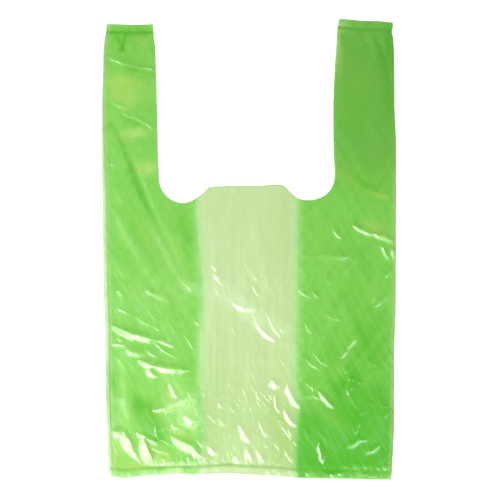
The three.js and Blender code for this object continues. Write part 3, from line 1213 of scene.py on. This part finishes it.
MIDDLE_GREEN = (0.23, 0.42, 0.02, 1)
GUSSET_GREEN = (0.19, 0.555, 0.054, 1)
DEEP_GREEN = (0.07, 0.43, 0.006, 1)
PALE_GREEN = (0.29, 0.62, 0.11, 1)
SALLOW_GREEN = (0.34, 0.59, 0.08, 1)
HANDLE_SHADE_GREEN = (0.15, 0.39, 0.07, 1)
RIM_GREEN = (0.20, 0.37, 0.04, 1)
EDGE_GREEN = (0.13, 0.26, 0.04, 1)
WELD_GREEN = (0.07, 0.34, 0.02, 1)
FILM_ALPHA = 0.19
FILM_ROUGHNESS = 0.235
FILM_IOR = 2.0

# Fineness and turns of the drawn lines, of falling and rising streaks, and of feathery lines
DRAWN_SCALE = (220, 16, 40)
FALLEN_SCALE = (20, 210, 30)
RISEN_SCALE = (26, 190, 30)
FEATHER_SCALE = (45, 520, 60)
FALLEN_TURN = math.radians(62)
RISEN_TURN = math.radians(-52)


def film_finish():
    finish = Finish("green_film")
    place = finish.node("ShaderNodeTexCoord", output="Object")
    edge = 1 - finish.ease(finish.number("edge_gap"), 0.1, 1.5)
    weld = finish.number("welded")
    inward = finish.ease(finish.number("side_gap"), 0.6, 3.5)
    gusset = finish.number("over_gusset")
    # Deeper or paler film where plies cling or part, with painted shade and painted highlights mixed in
    cling_and_painted_light = finish.number("cling_and_painted_light")
    sallow = finish.number("sallow")
    crinkle = finish.number("crinkle")
    handle_shade = finish.number("handle_shade")
    drawn = finish.noise(finish.stretched(place, DRAWN_SCALE), 2.0)
    cloud = finish.noise(place, 1.0, scale=24.0)
    fallen = finish.noise(finish.stretched(place, FALLEN_SCALE, FALLEN_TURN), 2.0, 0.62)
    risen = finish.noise(finish.stretched(place, RISEN_SCALE, RISEN_TURN), 1.0, 0.62)
    streaks = (fallen - 0.5) + 0.6 * (risen - 0.5)
    feather = finish.noise(finish.stretched(place, FEATHER_SCALE, FALLEN_TURN), 1.0, 0.6)
    fine_lines = crinkle * finish.ease(feather, 0.53, 0.68) * finish.ease(cloud, 0.4, 0.62)
    tone = cling_and_painted_light + (0.7 + 1.6 * crinkle) * streaks + 0.5 * (cloud - 0.5)
    deeper = finish.ease(tone, 0.0, 1.0)
    paler = finish.ease(tone, 0.0, -0.9)
    colour = finish.mixed(gusset, MIDDLE_GREEN, GUSSET_GREEN)
    colour = finish.mixed(deeper * gusset, colour, DEEP_GREEN)
    colour = finish.mixed(paler * gusset, colour, PALE_GREEN)
    colour = finish.mixed(finish.ease(sallow + 0.6 * (cloud - 0.5), 0.0, 0.9) * 0.8, colour, SALLOW_GREEN)
    # Painted shade: the right handle is mixed towards a duller, darker green
    colour = finish.mixed(handle_shade * 0.35, colour, HANDLE_SHADE_GREEN)
    rim = (1 - inward) * (1 - 0.85 * handle_shade)
    colour = finish.mixed(0.7 * rim, colour, RIM_GREEN)
    colour = finish.mixed(edge * 0.25, colour, EDGE_GREEN)
    colour = finish.mixed(weld * 0.6, colour, WELD_GREEN)
    alpha = FILM_ALPHA + (0.02 + 0.08 * crinkle) * (drawn - 0.5) + 0.04 * cling_and_painted_light
    alpha = alpha + gusset * (0.032 + 0.07 * deeper - 0.03 * paler)
    alpha = (alpha + 0.12 * weld) * (1 - 0.32 * finish.number("parted")) * (1 - 0.34 * fine_lines)
    alpha = alpha * (1 + edge * (0.15 - 0.5 * gusset)) * finish.number("from_tip")
    roughness = FILM_ROUGHNESS + 0.1 * (cloud - 0.4) + 0.2 * streaks + 0.25 * (feather - 0.5)
    roughness = roughness + 0.6 * rim
    return finish.surfaced({"Base Color": colour, "Roughness": roughness, "IOR": FILM_IOR, "Alpha": alpha})


# The stage


def make_floor():
    mesh = bpy.data.meshes.new("floor")
    reach = 6.0
    mesh.from_pydata(
        [(-reach, -reach, 0), (reach, -reach, 0), (reach, reach, 0), (-reach, reach, 0)], [], [(0, 1, 2, 3)]
    )
    floor = add_object("floor", mesh)
    white = {"Base Color": (0.9, 0.9, 0.9, 1), "Roughness": 0.9, "IOR": 1.2}
    mesh.materials.append(Finish("white_sweep").surfaced(white))
    return floor


def add_softbox(name, place, size, power):
    data = bpy.data.lights.new(name, "AREA")
    data.shape = "RECTANGLE"
    data.size, data.size_y = size
    data.energy = power
    softbox = add_object(name, data)
    softbox.location = place
    softbox.rotation_euler = place.to_track_quat("Z", "Y").to_euler()
    softbox.visible_camera = False


WORLD_STRENGTH = 0.2
FRAME_WIDTH = 0.345
FRAME_CENTRE = (0.00086, -0.00035)
LENS = 100.0
SENSOR = 36.0


def add_camera():
    data = bpy.data.cameras.new("camera")
    data.lens = LENS
    data.sensor_width = SENSOR
    camera = add_object("camera", data)
    camera.location = (*FRAME_CENTRE, FRAME_WIDTH * LENS / SENSOR)
    scene.camera = camera


def set_world():
    world = bpy.data.worlds.new("studio")
    world.use_nodes = True
    background = world.node_tree.nodes["Background"]
    background.inputs["Color"].default_value = (1, 1, 1, 1)
    background.inputs["Strength"].default_value = WORLD_STRENGTH
    scene.world = world


scene.view_settings.view_transform = "Standard"
scene.cycles.transparent_max_bounces = 40

add_camera()
set_world()
for name, (middle, length, height, power) in SOFTBOXES.items():
    add_softbox(name, Vector(middle) * MM, (length * MM, height * MM), power)

floor = make_floor()

bag = make_bag()
bag.data.materials.append(film_finish())
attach(bag, "root")
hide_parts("bag")
